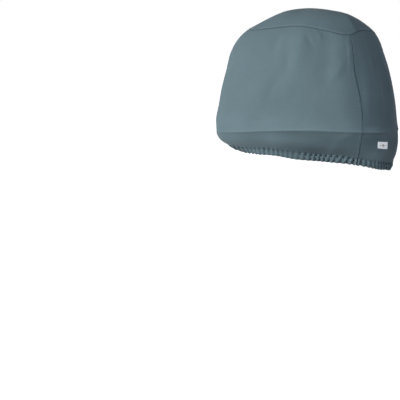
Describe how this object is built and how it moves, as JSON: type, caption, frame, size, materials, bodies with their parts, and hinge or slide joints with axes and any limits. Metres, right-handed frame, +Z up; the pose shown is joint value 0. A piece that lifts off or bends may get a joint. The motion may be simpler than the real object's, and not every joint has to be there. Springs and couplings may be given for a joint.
{
  "type": "outboard motor cover",
  "caption": "Fitted cloth cover for an outboard motor's cowling: domed cap, side and aft panels, turned-under skirt and a hem gathered on elastic.",
  "frame": {"origin": "on the inner face of the cap at its crown, where the cover rests on the cowling's top", "axes": "+X aft, +Y to starboard, +Z up"},
  "size_m": [0.779, 0.4979, 0.6567],
  "materials": {
    "cover_cloth": "matt coated woven cloth, faded teal grey",
    "label_cloth": "matt white woven ribbon"
  },
  "bodies": {
    "root": {"top_panel": "cover_cloth", "port_side_panel": "cover_cloth", "starboard_side_panel": "cover_cloth", "aft_panel": "cover_cloth", "label": "label_cloth"}
  },
  "joints": []
}
